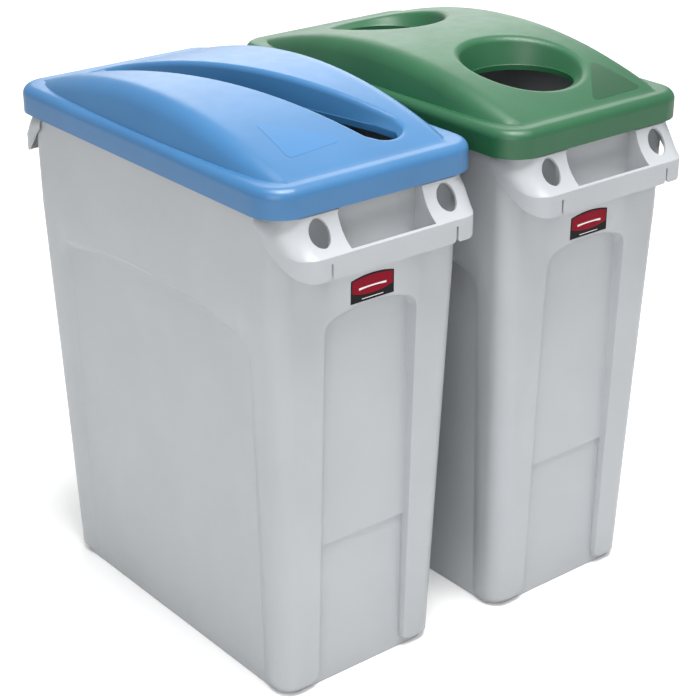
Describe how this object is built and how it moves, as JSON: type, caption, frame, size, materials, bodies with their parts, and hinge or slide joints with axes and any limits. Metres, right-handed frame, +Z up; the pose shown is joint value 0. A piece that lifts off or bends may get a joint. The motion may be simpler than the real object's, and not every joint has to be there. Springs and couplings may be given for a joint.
{
  "type": "recycling bin station",
  "caption": "Pair of slim grey recycling bins with grip frames and loose domed lids, one lid with a long paper slot, the other with round bottle holes.",
  "frame": {"origin": "on the floor, under the middle of the box around both bins", "axes": "+Z up, -Y is the front of both bins, +X from the paper bin to the bottle bin"},
  "size_m": [0.6068, 0.5808, 0.6773],
  "materials": {
    "tub_grey": "matte, fine moulded grain",
    "lid_blue": "satin, fine moulded grain",
    "lid_green": "matte, coarse orange-peel grain",
    "label_print": "printed film"
  },
  "bodies": {
    "paper_bin": {"paper_tub": "tub_grey", "paper_label": "label_print"},
    "paper_cover": {"paper_lid": "lid_blue"},
    "bottle_bin": {"bottle_tub": "tub_grey", "bottle_label": "label_print"},
    "bottle_cover": {"bottle_lid": "lid_green"}
  },
  "joints": [
    {"name": "paper_lid_lift", "type": "slide", "parent": "paper_bin", "child": "paper_cover", "axis": [0, 0, 1], "range_m": [0, 0.15]},
    {"name": "bottle_bin_pull", "type": "slide", "parent": "paper_bin", "child": "bottle_bin", "axis": [0, -1, 0], "range_m": [0, 0.6]},
    {"name": "bottle_lid_lift", "type": "slide", "parent": "bottle_bin", "child": "bottle_cover", "axis": [0, 0, 1], "range_m": [0, 0.15]}
  ]
}
